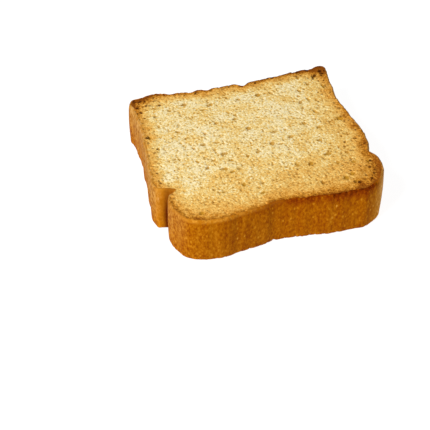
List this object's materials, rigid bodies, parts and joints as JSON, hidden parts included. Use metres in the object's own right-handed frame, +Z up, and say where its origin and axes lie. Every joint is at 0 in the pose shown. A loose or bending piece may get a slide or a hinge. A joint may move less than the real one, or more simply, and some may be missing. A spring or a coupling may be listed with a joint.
{
  "type": "zwieback",
  "caption": "Slice of twice-baked tin bread with a domed crown, a fold at each side and porous toasted faces, lying flat.",
  "frame": {"origin": "on the resting face, under the middle of the slice's bounding box", "axes": "+X across the loaf, +Y from the domed crown to the flat bottom crust, +Z up through the slice's thickness"},
  "size_m": [0.0694, 0.0648, 0.015],
  "materials": {
    "toasted_bread": "dry and matte: pale gold porous crumb, browned at its rim, with an orange brown crust"
  },
  "bodies": {
    "root": {"zwieback": "toasted_bread"}
  },
  "joints": []
}
